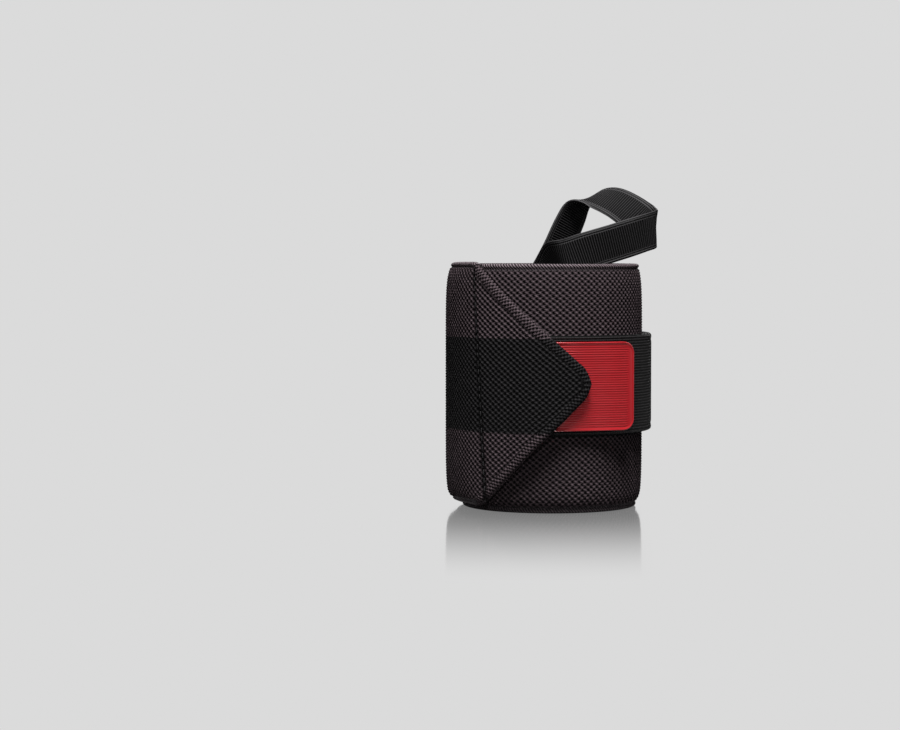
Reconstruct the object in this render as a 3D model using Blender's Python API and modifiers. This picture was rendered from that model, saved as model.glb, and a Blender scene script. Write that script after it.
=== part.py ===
"""A rolled wrist wrap, standing on edge.

An elastic band is wound into a hollow roll. Its outer end is folded into a blunt point. A
hook-and-loop strap with a rubber pull tab is sewn under the point and closes round the roll,
and a ribbed elastic thumb loop is sewn to the band's inner end and stands out of the core.

Metres, +Z up, the roll's axis upright. Angles are measured round that axis from the front
(-Y) towards the right (+X), and they grow along the band from its inner end to its point.
"""

import math

import bpy
import numpy as np
from mathutils import Matrix, Vector

# Clearance between neighbouring layers and pieces
GAP = 0.00035

# Elastic band
BAND_WIDTH = 0.0805
BAND_THICKNESS = 0.0018
BAND_TURNS = 2.55
SELVAGE_WIDTH = 0.0016
ROLL_RADIUS = 0.0331
ROLL_RADIUS_ANGLE = -90.0
EDGE_CURL = 0.0011
EDGE_CURL_DEPTH = 0.0042

# Outer end of the band, folded into a point
END_WIDTH = 0.0779
END_HEM_RISE = 0.0033
END_RISE_START = -290.0
END_RISE_STOP = -100.0
POINT_TIP_ANGLE = 23.2
POINT_THICKNESS = 0.0031
POINT_LENGTH = 0.0421
POINT_SKEW = 0.0034
NOSE_HEIGHT = 0.0122
NOSE_LENGTH = 0.0034
NOSE_BLUNTNESS = 1.35
POINT_LIFT_LEAD = 34.0

# Closure strap, with hook tape along its free end
STRAP_WIDTH = 0.0320
STRAP_THICKNESS = 0.0015
STRAP_HEIGHT = 0.0416
STRAP_ROOT_ANGLE = -21.0
STRAP_END_ANGLE = 205.0
STRAP_CORNER = 0.0060
STRAP_LIFT_LENGTH = 45.0
HOOK_THICKNESS = 0.0010
HOOK_INSET = 0.0010
HOOK_LENGTH = 0.0580

# Rubber pull tab
TAB_HEIGHT = 0.0286
TAB_LENGTH = 0.0322
TAB_DROP = 0.0004
TAB_THICKNESS = 0.0013
TAB_ROOT_ANGLE = -6.0
TAB_CORNER = 0.0038
TAB_SPRING = 0.0022

# Thumb loop
LOOP_WIDTH = 0.0127
LOOP_THICKNESS = 0.0012
LOOP_REACH = 0.0362
LOOP_RISE = 0.0250
LOOP_FOOT_DROP = 0.0230
LOOP_FOOT_LENGTH = 0.0090
LOOP_FOOT_SLANT = 33.0

# Mesh steps
BAND_STEP = 7.5
STRAP_STEP = 7.5
POINT_STATIONS = 14
NOSE_STATIONS = 4
CORNER_STATIONS = 5
LOOP_STATIONS = 64

# Places across a strip, as shares of its local width
BAND_INNER_COLUMNS = (0.065, 0.16, 0.5, 0.84, 0.935)
STRAP_COLUMNS = (0.0, 0.5, 1.0)
TAB_COLUMNS = (0.0, 0.25, 0.5, 0.75, 1.0)
LOOP_COLUMNS = (0.0, 0.5, 1.0)

# The loop's free course from the leg behind, over the top, round the right corner and back
# along the front. side is a share of LOOP_REACH from the axis, depth a share of the core's
# radius from the axis towards the back, and height a share of LOOP_RISE above the rim. lean
# and swing turn the ribbon's width, in degrees: lean from upright towards the back, and swing
# towards the right.
#              side   depth  height  lean    swing
LOOP_COURSE = (
    (-0.012, 0.74, -0.19, 136.0, 50.0),
    (0.115, 0.66, 0.18, 126.0, 42.0),
    (0.247, 0.58, 0.52, 119.0, 31.0),
    (0.375, 0.54, 0.86, 88.0, 15.0),
    (0.610, 0.50, 0.81, 41.0, 0.0),
    (0.815, 0.42, 0.69, 22.0, 0.0),
    (0.955, 0.30, 0.52, 8.0, 0.0),
    (1.000, 0.14, 0.46, 0.0, 0.0),
    (0.935, -0.03, 0.41, -4.0, 0.0),
    (0.660, -0.22, 0.29, -8.0, 0.0),
    (0.345, -0.29, 0.15, -6.0, -3.0),
    (0.174, -0.23, 0.08, -4.0, -12.0),
    (0.108, -0.06, 0.05, -4.0, -32.0),
    (0.061, 0.17, -0.08, -10.0, -44.0),
)


def smooth(value, start, stop):
    """0 before start, 1 after stop, and an even S between them."""
    share = min(max((value - start) / (stop - start), 0.0), 1.0)
    return share * share * (3.0 - 2.0 * share)


def round_axis(radius, angle, height):
    """The point at this radius and height, this many degrees from the front."""
    turn = math.radians(angle)
    return Vector((radius * math.sin(turn), -radius * math.cos(turn), height))


# Radii of the winding

PITCH = BAND_THICKNESS + GAP
BAND_START_ANGLE = POINT_TIP_ANGLE - 360.0 * BAND_TURNS
POINT_EXTRA = POINT_THICKNESS - BAND_THICKNESS


def spiral_radius(angle):
    """Outer face of the plain winding, with nothing under it but the turn below."""
    return ROLL_RADIUS + PITCH * (angle - ROLL_RADIUS_ANGLE) / 360.0


POINT_RADIUS = spiral_radius(POINT_TIP_ANGLE) + STRAP_THICKNESS + TAB_THICKNESS + 2.0 * GAP + POINT_EXTRA
POINT_BASE_ANGLE = POINT_TIP_ANGLE - math.degrees(POINT_LENGTH / POINT_RADIUS)


def band_radius(angle):
    """Outer face of the band: its end rides up over the strap, its own folded layer and the tab."""
    over_strap = smooth(angle, POINT_BASE_ANGLE - POINT_LIFT_LEAD, STRAP_ROOT_ANGLE)
    over_tab = smooth(angle, STRAP_ROOT_ANGLE, TAB_ROOT_ANGLE)
    return (
        spiral_radius(angle)
        + over_strap * (STRAP_THICKNESS + GAP + POINT_EXTRA)
        + over_tab * (TAB_THICKNESS + GAP)
    )


def strap_radius(angle):
    """Inner face of the strap: on the turn below at its root, then held off by the hook tape."""
    held_off = smooth(angle, POINT_TIP_ANGLE, POINT_TIP_ANGLE + STRAP_LIFT_LENGTH)
    return spiral_radius(angle - 360.0) + GAP + held_off * (HOOK_THICKNESS + GAP)


def band_thickness(angle):
    """Two layers of the folded end, one layer elsewhere."""
    return BAND_THICKNESS + POINT_EXTRA * smooth(angle, POINT_BASE_ANGLE - 8.0, POINT_BASE_ANGLE)


def point_half_width(distance, start):
    """Half the band's width this far past the point's base, where that half's fold starts there."""
    nose_start = POINT_LENGTH - NOSE_LENGTH
    if distance <= nose_start:
        share = max(distance - start, 0.0) / (nose_start - start)
        return (END_WIDTH * (1.0 - share) + NOSE_HEIGHT * share) / 2.0
    share = (distance - nose_start) / NOSE_LENGTH
    return NOSE_HEIGHT / 2.0 * math.sqrt(1.0 - share**NOSE_BLUNTNESS)


def band_edges(angle):
    """Heights of the band's lower and upper edge. The lower fold starts POINT_SKEW further on."""
    end = smooth(angle, END_RISE_START, END_RISE_STOP)
    lower = END_HEM_RISE * end
    upper = BAND_WIDTH * (1.0 - end) + (END_HEM_RISE + END_WIDTH) * end
    if angle <= POINT_BASE_ANGLE:
        return lower, upper
    distance = math.radians(angle - POINT_BASE_ANGLE) * POINT_RADIUS
    middle = (lower + upper) / 2.0
    return middle - point_half_width(distance, POINT_SKEW), middle + point_half_width(distance, 0.0)


def band_curl(angle, height):
    """How far the band leans in towards its edges. The selvages and the folded point stay straight."""
    lower, upper = band_edges(min(angle, POINT_BASE_ANGLE))
    past_selvage = max(min(height - lower, upper - height) - SELVAGE_WIDTH, 0.0)
    fade = 1.0 - smooth(angle, POINT_BASE_ANGLE - 12.0, POINT_BASE_ANGLE + 4.0)
    return EDGE_CURL * fade * math.exp(-past_selvage / EDGE_CURL_DEPTH)


def rounded_end_half(width, corner, to_end):
    """Half the width of a strip whose end has rounded corners, this far before its end."""
    if to_end >= corner:
        return width / 2.0
    return width / 2.0 - corner + math.sqrt(max(corner**2 - (corner - to_end) ** 2, 0.0))


def end_stations(start, stop, step, corner):
    """Evenly spaced places from start to stop, then closer ones round the end's corners."""
    count = max(2, math.ceil((stop - corner - start) / step))
    even = [start + (stop - corner - start) * i / count for i in range(count)]
    turns = [math.radians(90.0 * i / CORNER_STATIONS) for i in range(CORNER_STATIONS + 1)]
    return even + [stop - corner + corner * math.sin(turn) for turn in turns]


# Meshes and materials

def material(name, colour, roughness, metallic=0.0):
    made = bpy.data.materials.new(name)
    made.use_nodes = True
    shader = made.node_tree.nodes["Principled BSDF"]
    shader.inputs["Base Color"].default_value = (*colour, 1.0)
    shader.inputs["Roughness"].default_value = roughness
    shader.inputs["Metallic"].default_value = metallic
    made.diffuse_color = (*colour, 1.0)
    return made


def strip(name, rows, thickness, offset, finish, shares=None):
    """A wall of cloth or rubber: an open grid of points made solid.

    rows holds one list of points for each station. offset -1 thickens behind the grid, 1 in
    front of it and 0 on both sides. shares gives each row's part of the full thickness.
    """
    columns = len(rows[0])
    points = [tuple(point) for row in rows for point in row]
    faces = [
        (r * columns + c, (r + 1) * columns + c, (r + 1) * columns + c + 1, r * columns + c + 1)
        for r in range(len(rows) - 1)
        for c in range(columns - 1)
    ]
    mesh = bpy.data.meshes.new(name)
    mesh.from_pydata(points, [], faces)
    mesh.shade_smooth()
    mesh.materials.append(finish)
    piece = bpy.data.objects.new(name, mesh)
    solid = piece.modifiers.new("Wall", "SOLIDIFY")
    solid.thickness = thickness
    solid.offset = offset
    solid.use_even_offset = False
    if shares:
        group = piece.vertex_groups.new(name="wall")
        for r, share in enumerate(shares):
            group.add(list(range(r * columns, (r + 1) * columns)), share, "REPLACE")
        solid.vertex_group = group.name
    return piece


def band_stations():
    """Angles along the band: even steps, then the folded point, then its nose."""
    lead = POINT_BASE_ANGLE - BAND_START_ANGLE
    count = math.ceil(lead / BAND_STEP)
    angles = [BAND_START_ANGLE + lead * i / count for i in range(count)]
    per_metre = math.degrees(1.0 / POINT_RADIUS)
    nose_start = POINT_LENGTH - NOSE_LENGTH
    angles += [
        POINT_BASE_ANGLE + per_metre * nose_start * i / POINT_STATIONS for i in range(POINT_STATIONS)
    ]
    last = math.radians(78.0)
    for i in range(NOSE_STATIONS + 1):
        reach = math.sin(last * i / NOSE_STATIONS)
        angles.append(POINT_BASE_ANGLE + per_metre * (nose_start + NOSE_LENGTH * reach))
    return angles


def make_band():
    angles = band_stations()
    selvage = SELVAGE_WIDTH / BAND_WIDTH
    columns = (0.0, selvage, *BAND_INNER_COLUMNS, 1.0 - selvage, 1.0)
    rows = []
    for angle in angles:
        lower, upper = band_edges(angle)
        heights = [lower + (upper - lower) * share for share in columns]
        rows.append(
            [round_axis(band_radius(angle) - band_curl(angle, z), angle, z) for z in heights]
        )
    shares = [band_thickness(angle) / POINT_THICKNESS for angle in angles]
    finish = material("charcoal_elastic", (0.030, 0.024, 0.026), 0.86)
    return strip("wrap_band", rows, POINT_THICKNESS, -1.0, finish, shares)


def make_strap():
    radius = strap_radius(STRAP_END_ANGLE)
    corner = math.degrees(STRAP_CORNER / radius)
    rows = []
    for angle in end_stations(STRAP_ROOT_ANGLE, STRAP_END_ANGLE, STRAP_STEP, corner):
        to_end = math.radians(STRAP_END_ANGLE - angle) * radius
        half = rounded_end_half(STRAP_WIDTH, STRAP_CORNER, to_end)
        heights = [STRAP_HEIGHT + half * (2.0 * share - 1.0) for share in STRAP_COLUMNS]
        rows.append([round_axis(strap_radius(angle), angle, z) for z in heights])
    finish = material("black_webbing", (0.010, 0.010, 0.011), 0.80)
    return strip("closure_strap", rows, STRAP_THICKNESS, 1.0, finish)


def make_hook_tape():
    radius = strap_radius(STRAP_END_ANGLE) - GAP
    stop = STRAP_END_ANGLE - math.degrees(HOOK_INSET / radius)
    start = stop - math.degrees(HOOK_LENGTH / radius)
    corner_size = STRAP_CORNER - HOOK_INSET
    corner = math.degrees(corner_size / radius)
    rows = []
    for angle in end_stations(start, stop, STRAP_STEP, corner):
        to_end = math.radians(stop - angle) * radius
        half = rounded_end_half(STRAP_WIDTH - 2.0 * HOOK_INSET, corner_size, to_end)
        heights = [STRAP_HEIGHT + half * (2.0 * share - 1.0) for share in STRAP_COLUMNS]
        rows.append([round_axis(strap_radius(angle) - GAP, angle, z) for z in heights])
    finish = material("black_hook_tape", (0.008, 0.008, 0.009), 0.70)
    return strip("hook_tape", rows, HOOK_THICKNESS, -1.0, finish)


def make_tab():
    radius = strap_radius(POINT_TIP_ANGLE) + STRAP_THICKNESS + GAP
    stop = TAB_ROOT_ANGLE + math.degrees(TAB_LENGTH / radius)
    corner = math.degrees(TAB_CORNER / radius)
    rows = []
    for angle in end_stations(TAB_ROOT_ANGLE, stop, STRAP_STEP / 2.0, corner):
        to_end = math.radians(stop - angle) * radius
        half = rounded_end_half(TAB_HEIGHT, TAB_CORNER, to_end)
        spring = TAB_SPRING * smooth(angle, POINT_TIP_ANGLE, stop)
        face = strap_radius(angle) + STRAP_THICKNESS + GAP + spring
        middle = STRAP_HEIGHT - TAB_DROP
        heights = [middle + half * (2.0 * share - 1.0) for share in TAB_COLUMNS]
        rows.append([round_axis(face, angle, z) for z in heights])
    finish = material("red_rubber", (0.42, 0.012, 0.025), 0.42)
    return strip("pull_tab", rows, TAB_THICKNESS, 1.0, finish)


# Thumb loop

def core_radius():
    """Inner face of the band where it starts."""
    return spiral_radius(BAND_START_ANGLE) - BAND_THICKNESS


def foot_rows(layer, side):
    """The ribbon's sewn foot, flat against the core's wall, from its end up to its free part.

    layer counts ribbons between the wall and this one. side is 1 where the ribbon's upper edge
    lies to the right of the foot, and -1 where it lies to the left.
    """
    wall = core_radius()
    slant = math.radians(LOOP_FOOT_SLANT)
    half_span = (LOOP_WIDTH * math.cos(slant) + LOOP_FOOT_LENGTH * math.sin(slant)) / 2.0
    bow = wall - math.sqrt(wall**2 - half_span**2)
    radius = wall - bow - GAP - LOOP_THICKNESS / 2.0 - layer * (LOOP_THICKNESS + GAP)
    middle = BAND_START_ANGLE + math.degrees(LOOP_WIDTH / wall)
    outward = round_axis(1.0, middle, 0.0)
    level = outward.cross(Vector((0.0, 0.0, 1.0)))
    across = side * (level * math.cos(slant) - Vector((0.0, 0.0, math.sin(slant))))
    swing = math.degrees(math.asin(across.x))
    lean = math.degrees(math.atan2(across.y, across.z))
    rows = []
    for along in (-LOOP_FOOT_LENGTH / 2.0, LOOP_FOOT_LENGTH / 2.0):
        place = round_axis(radius, middle, BAND_WIDTH - LOOP_FOOT_DROP + along * math.cos(slant))
        place += level * along * math.sin(slant)
        rows.append((*place, lean, swing))
    return rows


def loop_rows():
    """Centre and width angles along the whole ribbon, from one foot to the other."""
    course = [
        (side * LOOP_REACH, depth * core_radius(), BAND_WIDTH + height * LOOP_RISE, lean, swing)
        for side, depth, height, lean, swing in LOOP_COURSE
    ]
    return foot_rows(0, 1.0) + course + foot_rows(1, -1.0)[::-1]


def through(rows, count):
    """Evenly spaced rows on one smooth curve through the given ones."""
    given = np.array(rows)
    steps = np.linalg.norm(np.diff(given[:, :3], axis=0), axis=1)
    places = np.concatenate([[0.0], np.cumsum(steps)])
    slopes = np.gradient(given, places, axis=0)
    found = []
    for place in np.linspace(0.0, places[-1], count):
        k = min(int(np.searchsorted(places, place, side="right")) - 1, len(steps) - 1)
        u = (place - places[k]) / steps[k]
        found.append(
            (2 * u**3 - 3 * u**2 + 1) * given[k]
            + (u**3 - 2 * u**2 + u) * steps[k] * slopes[k]
            + (3 * u**2 - 2 * u**3) * given[k + 1]
            + (u**3 - u**2) * steps[k] * slopes[k + 1]
        )
    return np.array(found)


def width_direction(lean, swing):
    """Unit vector across the ribbon, from its lower edge to its upper one."""
    lean, swing = math.radians(lean), math.radians(swing)
    return Vector(
        (math.sin(swing), math.cos(swing) * math.sin(lean), math.cos(swing) * math.cos(lean))
    )


def make_loop():
    stations = through(loop_rows(), LOOP_STATIONS)
    rows = []
    for i, station in enumerate(stations):
        before, after = stations[max(i - 1, 0)], stations[min(i + 1, len(stations) - 1)]
        along = Vector(after[:3] - before[:3]).normalized()
        across = width_direction(station[3], station[4])
        across = (across - across.dot(along) * along).normalized()
        centre = Vector(station[:3])
        rows.append([centre + across * LOOP_WIDTH * (share - 0.5) for share in LOOP_COLUMNS])
    finish = material("black_elastic", (0.006, 0.006, 0.007), 0.78)
    return strip("thumb_loop", rows, LOOP_THICKNESS, 0.0, finish)


def clear_scene():
    for old in list(bpy.data.objects):
        bpy.data.objects.remove(old, do_unlink=True)


def stand_on_origin(pieces):
    """Hangs the pieces on an empty that puts the middle of their box above the origin."""
    bpy.context.view_layer.update()
    graph = bpy.context.evaluated_depsgraph_get()
    corners = []
    for piece in pieces:
        solid = piece.evaluated_get(graph)
        shape = solid.to_mesh()
        corners += [point.co.copy() for point in shape.vertices]
        solid.to_mesh_clear()
    low = Vector(min(corner[axis] for corner in corners) for axis in range(3))
    high = Vector(max(corner[axis] for corner in corners) for axis in range(3))
    middle = (low + high) / 2.0
    root = bpy.data.objects.new("wrist_wrap_origin", None)
    root.matrix_world = Matrix.Translation((-middle.x, -middle.y, -low.z))
    return root


def main():
    clear_scene()
    pieces = [make_band(), make_strap(), make_hook_tape(), make_tab(), make_loop()]
    collection = bpy.data.collections.new("wrist_wrap")
    bpy.context.scene.collection.children.link(collection)
    for piece in pieces:
        collection.objects.link(piece)
    root = stand_on_origin(pieces)
    collection.objects.link(root)
    for piece in pieces:
        piece.parent = root


main()
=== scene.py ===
"""A rolled wrist wrap standing on edge on a pale glossy floor.

The shapes repeat the CAD source's winding, and add the weave, the selvages, the folded hem and
its stitches, the webbing, the hooks, the tab's ridges and the thumb loop's ribs.

Metres, +Z up. Angles are measured round the roll's axis from the front (-Y) towards the right
(+X), and they grow along the band from its inner end to its point.
"""

import math

import bmesh
import bpy
import numpy as np
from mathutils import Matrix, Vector


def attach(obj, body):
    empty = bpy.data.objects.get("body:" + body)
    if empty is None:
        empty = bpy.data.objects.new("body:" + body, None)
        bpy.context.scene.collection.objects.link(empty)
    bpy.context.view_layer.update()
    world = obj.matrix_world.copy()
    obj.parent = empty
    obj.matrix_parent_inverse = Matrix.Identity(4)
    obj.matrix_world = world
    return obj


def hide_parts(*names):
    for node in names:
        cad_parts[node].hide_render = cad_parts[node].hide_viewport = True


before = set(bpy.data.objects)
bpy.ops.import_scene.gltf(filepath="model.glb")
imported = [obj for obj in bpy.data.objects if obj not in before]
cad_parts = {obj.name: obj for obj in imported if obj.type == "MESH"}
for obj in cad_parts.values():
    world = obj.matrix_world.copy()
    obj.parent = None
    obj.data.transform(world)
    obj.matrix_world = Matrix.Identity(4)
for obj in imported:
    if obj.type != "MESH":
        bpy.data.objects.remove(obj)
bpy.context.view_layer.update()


# The roll's axis in the row frame
AXIS = np.array((-0.002164, 0.001332, 0.0))

# Sizes shared with the CAD source
GAP = 0.00035
BAND_WIDTH = 0.0805
BAND_THICKNESS = 0.0018
BAND_TURNS = 2.55
SELVAGE_WIDTH = 0.0016
RIB_WIDTH = 0.0021
TUCK = 0.0024
TUCK_START = 0.0020
TUCK_DEPTH = 0.0040
ROLL_OVER = 0.0009
ROLL_OVER_DEPTH = 0.0028
ROLL_RADIUS = 0.0331
ROLL_RADIUS_ANGLE = -90.0
EDGE_CURL = 0.0011
EDGE_CURL_DEPTH = 0.0042
END_WIDTH = 0.0779
END_HEM_RISE = 0.0033
END_HEM_DROP = 0.0012
END_RISE_START = -140.0
END_RISE_STOP = -50.0
POINT_TIP_ANGLE = 23.2
POINT_THICKNESS = 0.0031
POINT_LENGTH = 0.0421
POINT_SKEW = 0.0034
UPPER_CORNER = 0.0034
LOWER_CORNER = 0.0058
NOSE_HEIGHT = 0.0122
NOSE_LENGTH = 0.0034
NOSE_BLUNTNESS = 1.35
POINT_LIFT_LEAD = 34.0
STRAP_WIDTH = 0.0320
STRAP_THICKNESS = 0.0015
STRAP_HEIGHT = 0.0416
STRAP_ROOT_ANGLE = -21.0
STRAP_END_ANGLE = 205.0
STRAP_CORNER = 0.0060
STRAP_LIFT_LENGTH = 45.0
HOOK_THICKNESS = 0.0010
HOOK_INSET = 0.0010
HOOK_LENGTH = 0.0580
TAB_HEIGHT = 0.0286
TAB_LENGTH = 0.0322
TAB_DROP = 0.0003
TAB_THICKNESS = 0.0013
TAB_ROOT_ANGLE = -6.0
TAB_CORNER = 0.0038
TAB_SPRING = 0.0022
TAB_EDGE_ROUND = 0.00035
TAB_SIDE_ROUND = 0.0003
LOOP_WIDTH = 0.0127
LOOP_THICKNESS = 0.0012
LOOP_REACH = 0.0362
LOOP_RISE = 0.0250
LOOP_FOOT_DROP = 0.0230
LOOP_FOOT_LENGTH = 0.0090
LOOP_FOOT_SLANT = 33.0
#              side   depth  height  lean    swing
LOOP_COURSE = (
    (-0.012, 0.74, -0.19, 136.0, 50.0),
    (0.115, 0.69, 0.18, 126.0, 44.0),
    (0.215, 0.71, 0.52, 120.0, 44.0),
    (0.322, 0.73, 0.795, 86.0, 45.0),
    (0.450, 0.65, 0.895, 57.0, 40.0),
    (0.610, 0.48, 0.850, 41.0, 29.0),
    (0.800, 0.33, 0.685, 28.0, 14.0),
    (0.925, 0.22, 0.53, 12.0, -9.0),
    (1.014, 0.08, 0.458, 0.0, 0.0),
    (0.937, -0.06, 0.42, -4.0, 5.0),
    (0.660, -0.22, 0.29, -8.0, 0.0),
    (0.345, -0.29, 0.15, -6.0, -3.0),
    (0.174, -0.23, 0.065, -4.0, -12.0),
    (0.102, -0.06, 0.075, -4.0, -32.0),
    (0.061, 0.17, -0.08, -10.0, -44.0),
)

# Weave of the band: one cell holds two bumps and two pits
CELL_ALONG = 0.00215
CELLS_ACROSS = 42
STEPS_PER_CELL = 4
WEAVE_RELIEF = 0.00021
WEAVE_BUMP = 0.00021
WEAVE_START = -402.0
INNER_STEP = 5.0
BLACK_FROM = 12.5
BLACK_TO = 29.5

# Selvage rib across the band's edge: height as a share of RIB_WIDTH, depth of BAND_THICKNESS
RIB = (
    (0.0, -0.50),
    (0.04, -0.30),
    (0.14, -0.06),
    (0.32, 0.06),
    (0.54, 0.02),
    (0.68, -0.16),
    (0.84, -0.15),
)
HEM_WIDTH = 0.0031
HEM_CELL = (0.0013, 0.0018)
HEM_RELIEF = 0.00010
SEAM_DEPTH = 0.00036
SEAM_WIDTH = 0.00032
BASE_SEAM_WIDTH = 0.00058
BASE_SEAM_START = 0.0047
BASE_SEAM_SLANT = 0.0060
STITCH_PITCH = 0.0026
STITCH_LENGTH = 0.0019
STITCH_RADIUS = 0.00019
STITCH_LIFT = 0.00012

# Webbing, tab and loop textures
WEBBING_PITCH = 0.0009
STRAP_EDGE_ROUND = 0.0012
STRAP_GROOVE = 0.0021
STRAP_GROOVE_WIDTH = 0.0004
STRAP_GROOVE_DEPTH = 0.00016
HOOK_PITCH = 0.00155
HOOK_BORDER = 0.0006
HOOK_EDGE_ROUND = 0.0004
RIDGE_PITCH = 0.00075
RIDGE_RELIEF = 0.00013
TAB_RIM = 0.00042
TAB_RIM_RELIEF = 0.00022
LOOP_RIB_PITCH = 0.0008
LOOP_RIB_RELIEF = 0.00015
LOOP_EDGE = 0.0013
LOOP_LINE = 0.00078
LOOP_EDGE_ROUND = 0.0007
LOOP_GROOVE_WIDTH = 0.0003
LOOP_GROOVE_DEPTH = 0.00012
LOOP_SINK = 0.00006
LOOP_EDGE_RELIEF = 0.00005
PLACE_EASE = 0.0018
TURN_EASE = 0.0040


# Winding


def smooth(value, start, stop):
    """0 before start, 1 after stop, and an even S between them."""
    share = np.clip((np.asarray(value, float) - start) / (stop - start), 0.0, 1.0)
    return share * share * (3.0 - 2.0 * share)


def round_axis(radius, angle, height):
    """Points at these radii and heights, this many degrees from the front."""
    turn = np.radians(angle)
    spread = np.broadcast_arrays(radius * np.sin(turn), -radius * np.cos(turn), height)
    return np.stack(spread, axis=-1) + AXIS


PITCH = BAND_THICKNESS + GAP
BAND_START_ANGLE = POINT_TIP_ANGLE - 360.0 * BAND_TURNS
POINT_EXTRA = POINT_THICKNESS - BAND_THICKNESS


def spiral_radius(angle):
    return ROLL_RADIUS + PITCH * (angle - ROLL_RADIUS_ANGLE) / 360.0


UNDER_POINT = STRAP_THICKNESS + TAB_THICKNESS + 2.0 * GAP
POINT_RADIUS = spiral_radius(POINT_TIP_ANGLE) + UNDER_POINT + POINT_EXTRA
POINT_BASE_ANGLE = POINT_TIP_ANGLE - math.degrees(POINT_LENGTH / POINT_RADIUS)


def band_radius(angle):
    over_strap = smooth(angle, POINT_BASE_ANGLE - POINT_LIFT_LEAD, STRAP_ROOT_ANGLE)
    over_tab = smooth(angle, STRAP_ROOT_ANGLE, TAB_ROOT_ANGLE)
    return (
        spiral_radius(angle)
        + over_strap * (STRAP_THICKNESS + GAP + POINT_EXTRA)
        + over_tab * (TAB_THICKNESS + GAP)
    )


def strap_radius(angle):
    held_off = smooth(angle, POINT_TIP_ANGLE, POINT_TIP_ANGLE + STRAP_LIFT_LENGTH)
    return spiral_radius(angle - 360.0) + GAP + held_off * (HOOK_THICKNESS + GAP)


def band_thickness(angle):
    return BAND_THICKNESS + POINT_EXTRA * smooth(angle, POINT_BASE_ANGLE - 8.0, POINT_BASE_ANGLE)


def past_base(angle):
    """Distance along the folded point, from its base."""
    return np.radians(angle - POINT_BASE_ANGLE) * POINT_RADIUS


def point_half_width(distance, start, whole, corner):
    """Half the point's width on one side, where that side is whole at its base."""
    nose_start = POINT_LENGTH - NOSE_LENGTH
    slope = (whole - NOSE_HEIGHT / 2.0) / (nose_start - start)
    bend = np.clip((distance - start) / corner, -1.0, 1.0)
    past = np.clip(distance, start + corner, nose_start) - start - corner
    straight = whole - slope * (corner * (bend + 1.0) ** 2 / 4.0 + past)
    into_nose = np.clip((distance - nose_start) / NOSE_LENGTH, 0.0, 1.0)
    round_nose = (1.0 - into_nose**NOSE_BLUNTNESS) ** (1.0 / NOSE_BLUNTNESS)
    return np.maximum(straight * round_nose, 0.0002)


LOWER_END = END_HEM_RISE - END_HEM_DROP
UPPER_END = END_HEM_RISE + END_WIDTH
MIDDLE = END_HEM_RISE + END_WIDTH / 2.0
HALVES = {
    -1.0: (POINT_SKEW, MIDDLE - LOWER_END, LOWER_CORNER),
    1.0: (0.0, UPPER_END - MIDDLE, UPPER_CORNER),
}
FOLD_SLOPES = {
    side: (whole - NOSE_HEIGHT / 2.0) / (POINT_LENGTH - NOSE_LENGTH - start)
    for side, (start, whole, _) in HALVES.items()
}


def whole_edges(angle):
    """Heights of the band's edges, as if nothing were folded away."""
    end = smooth(angle, END_RISE_START, END_RISE_STOP)
    return LOWER_END * end, BAND_WIDTH * (1.0 - end) + UPPER_END * end


def band_edges(angle):
    lower, upper = whole_edges(angle)
    distance = past_base(angle)
    folded = distance > -UPPER_CORNER
    return (
        np.where(folded, MIDDLE - point_half_width(distance, *HALVES[-1.0]), lower),
        np.where(folded, MIDDLE + point_half_width(distance, *HALVES[1.0]), upper),
    )


def band_curl(angle, height):
    """The CAD's lean towards the edges, and the lower rim tucked in a little more."""
    lower, upper = whole_edges(angle)
    past_selvage = np.maximum(np.minimum(height - lower, upper - height) - SELVAGE_WIDTH, 0.0)
    fade = 1.0 - smooth(angle, POINT_BASE_ANGLE - 12.0, POINT_BASE_ANGLE + 4.0)
    lean = EDGE_CURL * fade * np.exp(-past_selvage / EDGE_CURL_DEPTH)
    left = 0.5 - 0.5 * np.sin(np.radians(angle))
    below = np.clip(1.0 - (height - TUCK_START) / TUCK_DEPTH, 0.0, 1.0)
    tuck = TUCK * (0.35 + 0.65 * left) * quarter_round(below)
    roll_over = fade * smooth(angle, -220.0, -140.0) * np.exp(-(upper - height) / ROLL_OVER_DEPTH)
    return lean + tuck + ROLL_OVER * roll_over


def quarter_round(share):
    """How far a quarter round has fallen, from 0 where it starts to 1 at its end."""
    return 1.0 - np.sqrt(1.0 - share**2)


def round_edge(inside, radius):
    """How deep an edge of this radius has fallen at each distance inside it."""
    return radius * quarter_round(np.clip(1.0 - inside / radius, 0.0, 1.0))


def from_outline(points, outline):
    """Distance of each flat point from the outline, a line of flat points."""
    start, step = outline[:-1], np.diff(outline, axis=0)
    offset = points[:, None, :] - start[None, :, :]
    share = np.clip((offset * step).sum(2) / (step * step).sum(1), 0.0, 1.0)
    return np.linalg.norm(offset - share[..., None] * step, axis=2).min(axis=1)


# Meshes


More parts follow.
